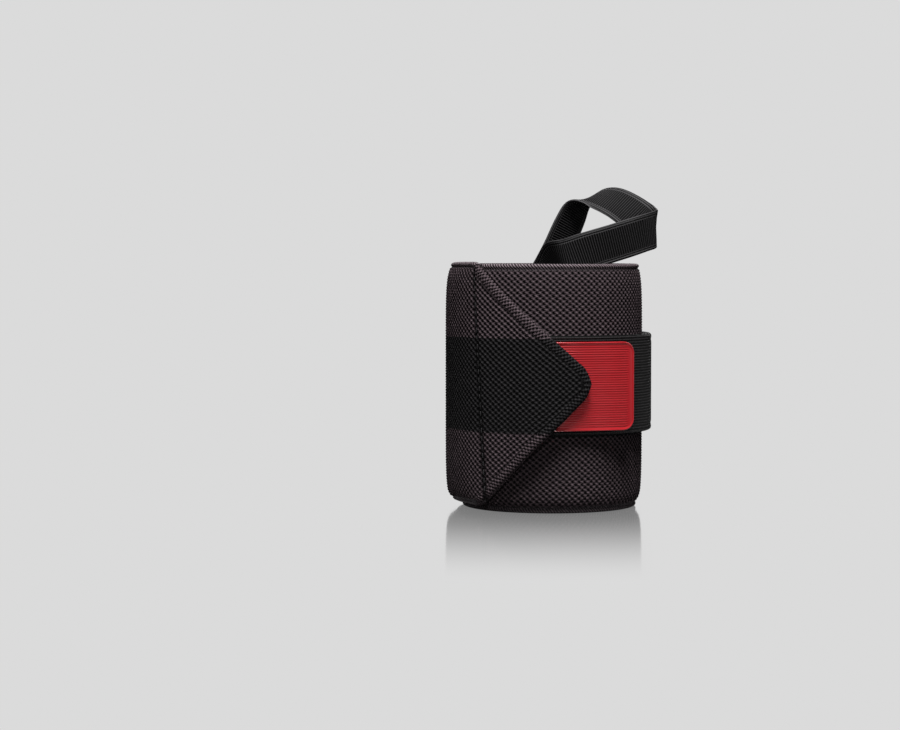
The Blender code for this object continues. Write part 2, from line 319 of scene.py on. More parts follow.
def skin(name, rows, finishes, choose):
    """A closed wall from rows of (outer points, outer cells, inner points, inner cells).

    Every row runs from the wall's lower edge to its upper one. A point's cells are its place in
    the texture, then what choose reads to pick each face's finish, and last its painted light:
    below 1 its colour is painted towards the pits' shade. choose takes the faces' sides (0 outer,
    1 inner, 2 edges and ends) and mean cells.
    """
    points, cells, outers, inners = [], [], [], []
    total = 0
    for outer, outer_cells, inner, inner_cells in rows:
        points += [outer, inner]
        cells += [outer_cells, inner_cells]
        outers.append(np.arange(total, total + len(outer)))
        total += len(outer)
        inners.append(np.arange(total, total + len(inner)))
        total += len(inner)
    points, cells = np.concatenate(points), np.concatenate(cells)
    faces, sides = [], []

    def add(found, side):
        faces.extend(found)
        sides.extend([side] * len(found))

    for k in range(len(rows) - 1):
        a, b = outers[k], outers[k + 1]
        if len(a) == len(b):
            add(np.stack([a[:-1], b[:-1], b[1:], a[1:]], axis=1).tolist(), 0)
        else:
            ratio = (len(b) - 1) // (len(a) - 1)
            fans = [
                [a[j], *b[j * ratio : (j + 1) * ratio + 1], a[j + 1]] for j in range(len(a) - 1)
            ]
            add([[int(i) for i in fan] for fan in fans], 0)
        c, d = inners[k], inners[k + 1]
        add(np.stack([c[1:], d[1:], d[:-1], c[:-1]], axis=1).tolist(), 1)
        add([[int(i) for i in (a[0], c[0], d[0], b[0])]], 2)
        add([[int(i) for i in (a[-1], b[-1], d[-1], c[-1])]], 2)
    for k in (0, -1):
        loop = [*outers[k].tolist(), *inners[k][::-1].tolist()]
        add([loop if k == 0 else loop[::-1]], 2)

    mesh = bpy.data.meshes.new(name)
    mesh.from_pydata(points.tolist(), [], faces)
    layer = mesh.uv_layers.new(name="cells")
    corner_points = np.empty(len(mesh.loops), np.int32)
    mesh.loops.foreach_get("vertex_index", corner_points)
    layer.data.foreach_set("uv", cells[corner_points, :2].astype(np.float32).ravel())
    if cells.shape[1] > 3:
        painted_light = mesh.attributes.new("painted_light", "FLOAT", "POINT")
        painted_light_value = np.where(cells[:, 3] > 1.0, cells[:, 3] - 1.0, cells[:, 3])
        painted_light.data.foreach_set("value", painted_light_value.astype(np.float32))
    starts = np.empty(len(mesh.polygons), np.int32)
    counts = np.empty(len(mesh.polygons), np.int32)
    mesh.polygons.foreach_get("loop_start", starts)
    mesh.polygons.foreach_get("loop_total", counts)
    means = np.add.reduceat(cells[corner_points], starts, axis=0) / counts[:, None]
    chosen = choose(np.array(sides), means) if choose else np.zeros(len(sides))
    mesh.polygons.foreach_set("material_index", np.asarray(chosen, np.int32))
    mesh.shade_smooth()
    for finish in finishes:
        mesh.materials.append(finish)
    return make_piece(name, mesh)


def make_piece(name, mesh):
    """An object of this mesh, faces turned out, that rides on the row's one body."""
    piece = bpy.data.objects.new(name, mesh)
    bpy.context.scene.collection.objects.link(piece)
    work = bmesh.new()
    work.from_mesh(mesh)
    bmesh.ops.recalc_face_normals(work, faces=work.faces)
    work.to_mesh(mesh)
    work.free()
    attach(piece, "root")
    return piece


def sprinkle(name, shape, faces, places, axes, finish):
    """Copies of one small shape, each at a place and turned by its three axes (as rows)."""
    count, size = len(places), len(shape)
    points = np.einsum("vk,nkd->nvd", shape, axes) + places[:, None, :]
    shifted = [
        tuple(i + k * size for i in face) for k in range(count) for face in faces
    ]
    mesh = bpy.data.meshes.new(name)
    mesh.from_pydata(points.reshape(-1, 3).tolist(), [], shifted)
    mesh.shade_smooth()
    mesh.materials.append(finish)
    return make_piece(name, mesh)


def tube(centres, radii, sides):
    """Points and faces of a closed tube through the centres, in their own plane's frame."""
    centres, radii = np.asarray(centres, float), np.asarray(radii, float)
    along = np.gradient(centres, axis=0)
    along /= np.linalg.norm(along, axis=1)[:, None]
    side = np.cross(along, (0.0, 1.0, 0.0))
    side /= np.linalg.norm(side, axis=1)[:, None]
    up = np.cross(side, along)
    turns = np.arange(sides) * 2.0 * np.pi / sides
    ring = (
        np.cos(turns)[None, :, None] * side[:, None, :]
        + np.sin(turns)[None, :, None] * up[:, None, :]
    )
    points = centres[:, None, :] + ring * radii[:, None, None]
    faces = []
    for k in range(len(centres) - 1):
        for i in range(sides):
            j = (i + 1) % sides
            faces.append((k * sides + i, k * sides + j, (k + 1) * sides + j, (k + 1) * sides + i))
    faces.append(tuple(range(sides))[::-1])
    faces.append(tuple(range((len(centres) - 1) * sides, len(centres) * sides)))
    return points.reshape(-1, 3), faces


# Materials


class Nodes:
    """Builds a material's node tree from sockets and plain numbers."""

    def __init__(self, name):
        self.material = bpy.data.materials.new(name)
        self.material.use_nodes = True
        self.tree = self.material.node_tree
        self.shader = self.tree.nodes["Principled BSDF"]

    def feed(self, socket, value):
        if isinstance(value, bpy.types.NodeSocket):
            self.tree.links.new(value, socket)
        else:
            socket.default_value = value

    def math(self, operation, *values):
        node = self.tree.nodes.new("ShaderNodeMath")
        node.operation = operation
        for socket, value in zip(node.inputs, values):
            self.feed(socket, value)
        return node.outputs[0]

    def vector(self, x, y, z=0.0):
        node = self.tree.nodes.new("ShaderNodeCombineXYZ")
        for socket, value in zip(node.inputs, (x, y, z)):
            self.feed(socket, value)
        return node.outputs[0]

    def split(self, vector):
        node = self.tree.nodes.new("ShaderNodeSeparateXYZ")
        self.feed(node.inputs[0], vector)
        return node.outputs

    def cells(self):
        node = self.tree.nodes.new("ShaderNodeUVMap")
        node.uv_map = "cells"
        return self.split(node.outputs[0])

    def attribute(self, name):
        node = self.tree.nodes.new("ShaderNodeAttribute")
        node.attribute_name = name
        return node.outputs["Fac"]

    def place(self):
        return self.tree.nodes.new("ShaderNodeTexCoord").outputs["Object"]

    def noise(self, vector, scale, detail=2.0):
        node = self.tree.nodes.new("ShaderNodeTexNoise")
        self.feed(node.inputs["Vector"], vector)
        node.inputs["Scale"].default_value = scale
        node.inputs["Detail"].default_value = detail
        return node

    def ramp(self, value, low, high, to_low=0.0, to_high=1.0):
        node = self.tree.nodes.new("ShaderNodeMapRange")
        node.interpolation_type = "SMOOTHSTEP"
        self.feed(node.inputs["Value"], value)
        node.inputs["From Min"].default_value = low
        node.inputs["From Max"].default_value = high
        node.inputs["To Min"].default_value = to_low
        node.inputs["To Max"].default_value = to_high
        return node.outputs[0]

    def mix(self, share, first, second):
        node = self.tree.nodes.new("ShaderNodeMix")
        node.data_type = "RGBA"
        self.feed(node.inputs[0], share)
        for socket, colour in ((node.inputs[6], first), (node.inputs[7], second)):
            self.feed(socket, colour if isinstance(colour, bpy.types.NodeSocket) else (*colour, 1.0))
        return node.outputs[2]

    def bump(self, height, distance):
        node = self.tree.nodes.new("ShaderNodeBump")
        node.inputs["Strength"].default_value = 1.0
        node.inputs["Distance"].default_value = distance
        self.feed(node.inputs["Height"], height)
        self.tree.links.new(node.outputs[0], self.shader.inputs["Normal"])

    def finish(self, colour, roughness, specular, sheen=0.0):
        if isinstance(colour, bpy.types.NodeSocket):
            self.tree.links.new(colour, self.shader.inputs["Base Color"])
        else:
            self.shader.inputs["Base Color"].default_value = (*colour, 1.0)
        self.shader.inputs["Roughness"].default_value = roughness
        self.shader.inputs["Specular IOR Level"].default_value = specular
        self.shader.inputs["Sheen Weight"].default_value = sheen
        return self.material


def weave(name, painted_pit_shade, body, light, relief):
    """Covered elastic woven in offset rows of bumps with pits between them, the pits painted dark as
    painted shade and the bump tops painted lighter as a painted highlight.
    """
    n = Nodes(name)
    u, v, _ = n.cells()
    flat = n.vector(u, v)
    drift = n.split(n.noise(flat, 0.55, 2.0).outputs["Color"])
    u = n.math("ADD", u, n.math("MULTIPLY", n.math("SUBTRACT", drift[0], 0.5), 0.42))
    v = n.math("ADD", v, n.math("MULTIPLY", n.math("SUBTRACT", drift[1], 0.5), 0.32))
    lean = n.math("MULTIPLY", n.math("SINE", n.math("MULTIPLY", v, 4.0 * math.pi)), 0.06)
    across = n.math("COSINE", n.math("MULTIPLY", n.math("ADD", u, lean), 2.0 * math.pi))
    up = n.math("COSINE", n.math("MULTIPLY", v, 2.0 * math.pi))
    bumps = n.math("MULTIPLY", across, up)
    strands = n.vector(
        n.math("ADD", n.math("MULTIPLY", u, 1.6), n.math("MULTIPLY", v, 1.4)),
        n.math("SUBTRACT", n.math("MULTIPLY", v, 8.0), n.math("MULTIPLY", u, 7.0)),
    )
    strand = n.noise(strands, 1.0, 3.0).outputs[0]
    patch = n.noise(flat, 1.35, 2.0).outputs[0]
    shape = n.math("ADD", bumps, n.math("MULTIPLY", n.math("SUBTRACT", strand, 0.5), 0.8))
    # Painted shade: the pits take the dark pit colour, and a painted light value below 1 pulls more of
    # the weave towards it
    unshaded_share = n.math("MULTIPLY", n.ramp(shape, -0.50, 0.08), n.attribute("painted_light"))
    # Painted highlight: the bump tops are painted lighter, by an amount that varies at random from
    # patch to patch
    painted_highlight_share = n.math(
        "MULTIPLY", n.ramp(shape, 0.2, 1.1), n.ramp(patch, 0.30, 0.70, 0.25, 1.0)
    )
    colour = n.mix(unshaded_share, painted_pit_shade, n.mix(painted_highlight_share, body, light))
    n.bump(n.math("ADD", shape, n.math("MULTIPLY", strand, 0.4)), relief)
    return n.finish(colour, 0.85, 0.06)


def cord_rib(name, dark, light, start):
    """The selvage: a fine cord with slanted strokes, lit from this many cells past the weave; nearer
    the weave, and all along the band's lower rim, its strokes are painted in shade.
    """
    n = Nodes(name)
    u, v, _ = n.cells()
    drift = n.noise(n.vector(u, v), 1.1, 2.0).outputs[0]
    turn = n.math("ADD", n.math("MULTIPLY", u, 2.0), n.math("MULTIPLY", v, 1.5))
    turn = n.math("ADD", turn, n.math("MULTIPLY", drift, 0.8))
    strokes = n.math("SINE", n.math("MULTIPLY", turn, 2.0 * math.pi))
    strokes = n.math("ADD", strokes, n.math("MULTIPLY", n.math("SUBTRACT", drift, 0.5), 0.8))
    past_weave = n.math("MAXIMUM", n.math("SUBTRACT", v, CELLS_ACROSS), n.math("MULTIPLY", v, -1.0))
    # Painted shade: up to start, in the flat zone beside the weave, the strokes are dimmed to a fifth
    # of their light
    past_start = n.ramp(past_weave, start, start + 0.18, 0.20, 1.0)
    lit = n.math("MULTIPLY", n.ramp(strokes, -0.8, 0.7), past_start)
    # Painted shade: on the lower rim the strokes are dimmed to 0.3, as on an underside
    lit = n.math("MULTIPLY", lit, n.ramp(v, 0.0, 1.0, 0.30, 1.0))
    n.bump(strokes, 0.00009)
    return n.finish(n.mix(lit, dark, light), 0.7, 0.15)


def webbing(name, dark, light):
    """Fine ribs along the strap, with faint ticks across them."""
    n = Nodes(name)
    u, v, _ = n.cells()
    ribs = n.math("COSINE", n.math("MULTIPLY", v, 2.0 * math.pi))
    ticks = n.math("SINE", n.math("MULTIPLY", u, 2.0 * math.pi))
    fuzz = n.noise(n.vector(n.math("MULTIPLY", u, 0.8), n.math("MULTIPLY", v, 2.4)), 1.0, 3.0)
    shape = n.math("ADD", ribs, n.math("MULTIPLY", ticks, 0.25))
    shape = n.math("ADD", shape, n.math("SUBTRACT", fuzz.outputs[0], 0.5))
    n.bump(shape, 0.00012)
    return n.finish(n.mix(n.ramp(shape, -0.4, 1.2), dark, light), 0.7, 0.08, 0.02)


def ribbed(name, dark, light):
    n = Nodes(name)
    u, v, _ = n.cells()
    rib = n.math("COSINE", n.math("MULTIPLY", u, 2.0 * math.pi))
    fuzz = n.noise(n.vector(n.math("MULTIPLY", u, 1.0), n.math("MULTIPLY", v, 14.0)), 1.0, 3.0)
    shape = n.math("ADD", rib, n.math("MULTIPLY", n.math("SUBTRACT", fuzz.outputs[0], 0.5), 0.9))
    n.bump(shape, 0.00009)
    return n.finish(n.mix(n.ramp(shape, -0.2, 1.2), dark, light), 0.7, 0.18)


def ribbon_edge(name, dark, light):
    """Two fine lines that run along the ribbon's edge."""
    n = Nodes(name)
    u, v, _ = n.cells()
    inside = n.math("SUBTRACT", 0.5, n.math("ABSOLUTE", v))
    lines = n.math("COSINE", n.math("MULTIPLY", inside, 2.0 * math.pi * LOOP_WIDTH / LOOP_LINE))
    fuzz = n.noise(n.vector(n.math("MULTIPLY", u, 2.0), n.math("MULTIPLY", v, 40.0)), 1.0, 2.0)
    shape = n.math("ADD", lines, n.math("SUBTRACT", fuzz.outputs[0], 0.5))
    n.bump(shape, 0.00006)
    return n.finish(n.mix(n.ramp(shape, -0.2, 0.9), dark, light), 0.6, 0.25)


def rubber(name, colour):
    n = Nodes(name)
    grain = n.noise(n.place(), 2600.0, 2.0).outputs[0]
    n.bump(grain, 0.00001)
    return n.finish(colour, 0.32, 0.55)


def plain(name, colour, roughness, specular):
    return Nodes(name).finish(colour, roughness, specular)


# Each weave's colours: painted shade for its pits, its body colour, and a painted highlight for its
# bump tops
CHARCOAL = weave(
    "charcoal_elastic",
    (0.0009, 0.0007, 0.0008),
    (0.067, 0.050, 0.056),
    (0.200, 0.154, 0.169),
    WEAVE_BUMP,
)
BLACK = weave(
    "black_elastic",
    (0.0006, 0.0006, 0.0006),
    (0.0195, 0.0184, 0.0195),
    (0.056, 0.053, 0.055),
    WEAVE_BUMP,
)
# The inner selvage is the same cord painted darker, and dim further from its edge, as painted shade on
# the inside of the roll
SELVAGE = cord_rib("selvage_cord", (0.010, 0.008, 0.009), (0.195, 0.154, 0.168), 0.18)
SHADED_SELVAGE = cord_rib("inner_selvage_painted_shade", (0.006, 0.005, 0.005), (0.130, 0.102, 0.111), 0.92)
WEBBING = webbing("black_webbing", (0.0010, 0.0009, 0.0010), (0.030, 0.028, 0.029))
HOOKS = plain("hook_tape_nylon", (0.010, 0.010, 0.011), 0.5, 0.4)
RUBBER = rubber("red_rubber", (0.43, 0.013, 0.019))
RIBBED = ribbed("black_ribbed_elastic", (0.0014, 0.0014, 0.0014), (0.036, 0.034, 0.036))
LOOP_SELVAGE = ribbon_edge("loop_selvage", (0.004, 0.004, 0.004), (0.062, 0.059, 0.062))
THREAD = plain("black_thread", (0.012, 0.011, 0.012), 0.6, 0.35)


# Elastic band


def arc_table():
    """Angles along the band and the length of cloth up to each, from the inner end."""
    angles = np.arange(BAND_START_ANGLE, POINT_TIP_ANGLE + 0.05, 0.05)
    steps = np.radians(0.05) * band_radius(angles[:-1] + 0.025)
    return angles, np.concatenate([[0.0], np.cumsum(steps)])


ARC_ANGLES, ARC_LENGTHS = arc_table()


def cloth_length(angle):
    return np.interp(angle, ARC_ANGLES, ARC_LENGTHS)


def point_outline(start, whole, corner):
    """One half of the folded point's outline as (distance past its base, half width)."""
    nose = POINT_LENGTH - NOSE_LENGTH * (1.0 - np.sin(np.linspace(0.0, np.pi / 2.0, 24)))
    straight = np.linspace(start - corner, POINT_LENGTH - NOSE_LENGTH, 24)[:-1]
    distance = np.concatenate([[-0.02], straight, nose])
    return np.stack([distance, point_half_width(distance, start, whole, corner)], axis=1)


OUTLINES = {side: point_outline(*half) for side, half in HALVES.items()}


def hem_distance(angle, height):
    """Distance inside the folded outline."""
    along = np.full_like(height, past_base(angle))
    flat = np.stack([along, np.abs(height - MIDDLE)], axis=1)
    return np.where(
        height < MIDDLE, from_outline(flat, OUTLINES[-1.0]), from_outline(flat, OUTLINES[1.0])
    )


def seam_line(height):
    """Distance past the point's base of the stitched line that runs up the band there."""
    share = (height - END_HEM_RISE) / END_WIDTH
    return BASE_SEAM_START - BASE_SEAM_SLANT * share


def band_row(angle, fine):
    lower, upper = (float(x) for x in band_edges(angle))
    whole_lower, whole_upper = (float(x) for x in whole_edges(angle))
    thickness = float(band_thickness(angle))
    rib_share = np.array(RIB)[:, 0] * RIB_WIDTH / BAND_WIDTH
    start = RIB_WIDTH / BAND_WIDTH
    count = CELLS_ACROSS * STEPS_PER_CELL if fine else 12
    weave_share = start + (1.0 - 2.0 * start) * np.arange(count + 1) / count
    share = np.concatenate([rib_share, weave_share, 1.0 - rib_share[::-1]])
    height = lower + (upper - lower) * share
    cell_u = float(cloth_length(angle)) / CELL_ALONG
    whole_share = (height - whole_lower) / (whole_upper - whole_lower)
    cell_v = (whole_share - start) / (1.0 - 2.0 * start) * CELLS_ACROSS

    rib_depth = np.array(RIB)[:, 1] * BAND_THICKNESS
    depth = np.concatenate([rib_depth, np.zeros(count + 1), rib_depth[::-1]])
    along = float(past_base(angle))
    folded = float(smooth(along, -0.0012, 0.0012))
    u = np.full_like(cell_v, cell_u)
    v = cell_v.copy()
    sunk = np.zeros_like(v)
    in_hem = np.zeros(len(v), bool)
    in_rib = (share < start) | (share > 1.0 - start)
    if folded > 0.0:
        inside = hem_distance(angle, height)
        fold_depth = -round_edge(inside, thickness / 2.0)
        hem = HEM_RELIEF * (1.0 - smooth(inside, HEM_WIDTH - 0.0007, HEM_WIDTH))
        depth = (1.0 - folded) * depth + folded * (fold_depth + hem)
        sunk = 0.2 * folded * np.exp(-(((inside - HEM_WIDTH) / SEAM_WIDTH) ** 2))
        in_hem = (inside < HEM_WIDTH) & (folded > 0.5)
        slope = np.where(height < MIDDLE, FOLD_SLOPES[-1.0], FOLD_SLOPES[1.0])
        run = (along - np.abs(height - MIDDLE) * slope) / np.hypot(1.0, slope)
        wander = 0.12 * np.sin(run * 1500.0)
        u = np.where(in_hem, run / HEM_CELL[0] + wander, u)
        v = np.where(in_hem, inside / HEM_CELL[1] + 0.08, v)
        in_rib = np.zeros_like(in_rib)
    if -0.004 < along < 0.011:
        width = BASE_SEAM_WIDTH * (1.6 - 0.7 * height / BAND_WIDTH)
        beside = (along - seam_line(height)) / width
        sunk = np.maximum(sunk, np.minimum(1.6 * np.exp(-(beside**2)), 1.0))
    bumps = np.cos(2.0 * np.pi * u) * np.cos(2.0 * np.pi * v)
    relief = WEAVE_RELIEF * np.where(in_hem, 0.5, 1.0) * bumps
    relief = np.where(in_rib, 0.0, relief) if fine else 0.0
    radius = band_radius(angle) - band_curl(angle, height) + depth - SEAM_DEPTH * sunk + relief
    outer = round_axis(radius, angle, height)
    # Painted light: sunk paints the seams and the hem's groove with shade, and the weave outside the
    # hem is painted a little darker than the hem, as if the hem's bulge caught more light. 1 more marks
    # the folded point.
    painted_light = np.where(in_hem, 1.0, 0.84) * (1.0 - 0.95 * sunk) + (1.0 if folded > 0.5 else 0.0)

    inner_share = np.array([0.0, 0.02, 0.16, 0.3, 0.308, 0.5, 0.692, 0.70, 0.84, 0.98, 1.0])
    inner_height = lower + (upper - lower) * inner_share
    tucked = np.where((inner_share == 0.0) | (inner_share == 1.0), 0.30 * thickness, 0.0)
    if folded > 0.0:
        inside = hem_distance(angle, inner_height)
        tucked = (1.0 - folded) * tucked + folded * round_edge(inside, thickness / 2.0)
    inner_radius = band_radius(angle) - band_curl(angle, inner_height) - thickness + tucked
    inner = round_axis(inner_radius, angle, inner_height)
    inner_whole = (inner_height - whole_lower) / (whole_upper - whole_lower)
    inner_v = (inner_whole - start) / (1.0 - 2.0 * start) * CELLS_ACROSS
    inner_shade = np.full_like(inner_v, 1.0 + (1.0 if folded > 0.5 else 0.0))
    return (
        outer,
        np.stack([u, v, cell_v, painted_light], axis=1),
        inner,
        np.stack([np.full_like(inner_v, cell_u), inner_v, inner_v, inner_shade], axis=1),
    )


def band_finish(sides, cells):
    """0 on the weave, 1 on its black stripe, 2 on the outer selvages and 3 on the inner ones, whose
    cord is painted darker as painted shade.
    """
    height = cells[:, 2]
    black = (height > BLACK_FROM) & (height < BLACK_TO)
    rib = ((height < 0.0) | (height > CELLS_ACROSS)) & (cells[:, 3] < 1.5)
    inner_rib = rib & (sides == 1)
    return np.where(inner_rib, 3, np.where(rib, 2, np.where(black, 1, 0)))


def make_band():
    inner_turns = np.arange(BAND_START_ANGLE, WEAVE_START - INNER_STEP / 2.0, INNER_STEP)
    first = round(float(cloth_length(WEAVE_START)) / CELL_ALONG * STEPS_PER_CELL)
    nose_start = POINT_TIP_ANGLE - math.degrees(NOSE_LENGTH / POINT_RADIUS)
    last = math.floor(float(cloth_length(nose_start)) / CELL_ALONG * STEPS_PER_CELL)
    lengths = np.arange(first, last + 1) * CELL_ALONG / STEPS_PER_CELL
    weave_angles = np.interp(lengths, ARC_LENGTHS, ARC_ANGLES)
    reach = np.sin(np.radians(np.linspace(8.0, 86.0, 12)))
    nose_angles = nose_start + (POINT_TIP_ANGLE - nose_start) * reach
    rows = [band_row(angle, False) for angle in inner_turns]
    rows += [band_row(angle, True) for angle in (*weave_angles, *nose_angles)]
    return skin("band_cloth", rows, (CHARCOAL, BLACK, SELVAGE, SHADED_SELVAGE), band_finish)


# Stitches


def stitch_shape(length, radius):
    return tube(
        [(x * length, 0.0, -radius * 1.6 * (2.0 * x) ** 2) for x in (-0.5, -0.32, 0.0, 0.32, 0.5)],
        [radius * 0.55, radius * 0.95, radius, radius * 0.95, radius * 0.55],
        6,
    )


def stitch_line(flat):
    """Places and axes of stitches along flat points (distance past the base, height)."""
    flat = np.asarray(flat)
    steps = np.linalg.norm(np.diff(flat, axis=0), axis=1)
    lengths = np.concatenate([[0.0], np.cumsum(steps)])
    count = max(2, int(lengths[-1] / STITCH_PITCH))
    middles = (np.arange(count) + 0.5) * lengths[-1] / count
    along = np.stack([np.interp(middles, lengths, flat[:, i]) for i in (0, 1)], axis=1)
    slopes = np.stack([np.interp(middles + 1e-4, lengths, flat[:, i]) for i in (0, 1)], axis=1) - along
    places, axes = [], []
    for (distance, height), (ahead, rise) in zip(along, slopes):
        angle = POINT_BASE_ANGLE + math.degrees(distance / POINT_RADIUS)
        surface = float(band_radius(angle)) - float(band_curl(angle, height))
        radius = surface - SEAM_DEPTH + STITCH_LIFT
        places.append(round_axis(radius, angle, height))
        out = round_axis(1.0, angle, 0.0) - AXIS
        level = np.array((-out[1], out[0], 0.0))
        line = level * ahead + np.array((0.0, 0.0, 1.0)) * rise
        line /= np.linalg.norm(line)
        axes.append([line, np.cross(out, line), out])
    return np.array(places), np.array(axes)


def hem_line(side):
    """The stitched line inside that half's fold, from near the base to near the nose."""
    start, whole, corner = HALVES[side]
    slope = FOLD_SLOPES[side]
    inset = HEM_WIDTH * math.hypot(1.0, slope)
    reach = start + (whole - inset) / slope - STITCH_PITCH
    return [
        (d, MIDDLE + side * (whole - inset - slope * (d - start)))
        for d in np.linspace(start + corner, reach, 24)
    ]


def make_stitches():
    heights = np.linspace(END_HEM_RISE + 0.0035, END_HEM_RISE + END_WIDTH - 0.0045, 30)
    lines = [hem_line(1.0), hem_line(-1.0), [(float(seam_line(z)), z) for z in heights]]
    found = [stitch_line(line) for line in lines]
    shape, faces = stitch_shape(STITCH_LENGTH, STITCH_RADIUS)
    places = np.concatenate([places for places, _ in found])
    axes = np.concatenate([axes for _, axes in found])
    return sprinkle("point_stitches", shape, faces, places, axes, THREAD)


# Strap and hook tape


def rounded_end_half(width, corner, to_end):
    near = np.clip(corner - to_end, 0.0, corner)
    return width / 2.0 - corner + np.sqrt(corner**2 - near**2)


def end_stations(start, stop, step, corner, turns=9):
    count = max(2, math.ceil((stop - corner - start) / step))
    even = start + (stop - corner - start) * np.arange(count) / count
    return np.concatenate([even, stop - corner + corner * np.sin(np.linspace(0.0, np.pi / 2.0, turns))])


EDGE_ROUND = ((0.0, 0.5), (0.12, 0.26), (0.34, 0.09), (0.68, 0.0))


def rounded_columns(half, count, edge):
    """Places across a strip and how deep its rounded edges sit there, as a share of its wall."""
    near = np.array([place for place, _ in EDGE_ROUND]) * edge
    inner = np.linspace(-half + edge, half - edge, count)
    across = np.concatenate([-half + near, inner, half - near[::-1]])
    sunk = np.array([depth for _, depth in EDGE_ROUND])
    return across, np.concatenate([sunk, np.zeros(count), sunk[::-1]])


def make_strap():
    radius = strap_radius(STRAP_END_ANGLE)
    corner = math.degrees(STRAP_CORNER / radius)
    rows = []
    for angle in end_stations(STRAP_ROOT_ANGLE, STRAP_END_ANGLE, 1.5, corner):
        to_end = math.radians(STRAP_END_ANGLE - angle) * radius
        half = float(rounded_end_half(STRAP_WIDTH, STRAP_CORNER, to_end))
        across, sunk = rounded_columns(half, 33, min(STRAP_EDGE_ROUND, half * 0.4))
        from_groove = np.abs(across) - STRAP_WIDTH / 2.0 + STRAP_GROOVE
        groove = STRAP_GROOVE_DEPTH * np.exp(-((from_groove / STRAP_GROOVE_WIDTH) ** 2))
        inner = strap_radius(angle)
        outer = inner + STRAP_THICKNESS * (1.0 - sunk) - groove
        height = STRAP_HEIGHT + across
        along = math.radians(angle) * radius
        cells = np.stack([np.full_like(height, along), across], axis=1) / WEBBING_PITCH
        rows.append(
            (
                round_axis(outer, angle, height),
                cells,
                round_axis(inner + STRAP_THICKNESS * sunk * 0.9, angle, height),
                cells,
            )
        )
    return skin("strap_webbing", rows, (WEBBING,), None)


#    along, out from the tape (shares of a hook's height), radius
HOOK_SHAPE = (
    (0.0, -0.1, 0.00011),
    (0.0, 0.55, 0.00010),
    (0.16, 0.85, 0.00009),
    (0.5, 0.84, 0.00008),
    (0.62, 0.58, 0.00006),
)


def make_hook_tape():
    radius = float(strap_radius(STRAP_END_ANGLE)) - GAP
    stop = STRAP_END_ANGLE - math.degrees(HOOK_INSET / radius)
    start = stop - math.degrees(HOOK_LENGTH / radius)
    corner_size = STRAP_CORNER - HOOK_INSET
    corner = math.degrees(corner_size / radius)
    backing = HOOK_THICKNESS * 0.42
    rows = []
    for angle in end_stations(start, stop, 3.0, corner):
        to_end = math.radians(stop - angle) * radius
        half = float(rounded_end_half(STRAP_WIDTH - 2.0 * HOOK_INSET, corner_size, to_end))
        across, sunk = rounded_columns(half, 5, min(HOOK_EDGE_ROUND, half * 0.4))
        outer = strap_radius(angle) - GAP
        height = STRAP_HEIGHT + across
        cells = np.stack([np.full_like(height, angle), across], axis=1)
        rows.append(
            (
                round_axis(outer - backing * sunk * 0.9, angle, height),
                cells,
                round_axis(outer - backing * (1.0 - sunk), angle, height),
                cells,
            )
        )
    tape = skin("hook_backing", rows, (HOOKS,), None)

    tall = HOOK_THICKNESS - backing
    places, axes = [], []
    columns = int((STRAP_WIDTH - 2.0 * HOOK_INSET) / HOOK_PITCH) - 1
    for i in range(int(HOOK_LENGTH / HOOK_PITCH) - 1):
        to_end = (i + 0.9) * HOOK_PITCH
        angle = stop - math.degrees(to_end / radius)
        half = float(rounded_end_half(STRAP_WIDTH - 2.0 * HOOK_INSET, corner_size, to_end))
        for j in range(columns):
            height = (j - (columns - 1) / 2.0 + 0.25 * (-1) ** i) * HOOK_PITCH
            if abs(height) > half - HOOK_BORDER:
                continue
            out = round_axis(1.0, angle, 0.0) - AXIS
            level = np.array((-out[1], out[0], 0.0)) * (-1) ** j
            places.append(
                round_axis(float(strap_radius(angle)) - GAP - backing, angle, STRAP_HEIGHT + height)
            )
            axes.append([level, np.cross(-out, level), -out])
    shape, faces = tube(
        [(x * tall, 0.0, z * tall) for x, z, _ in HOOK_SHAPE],
        [radius for _, _, radius in HOOK_SHAPE],
        4,
    )
    hooks = sprinkle("hook_field", shape, faces, np.array(places), np.array(axes), HOOKS)
    return tape, hooks


# Rubber tab


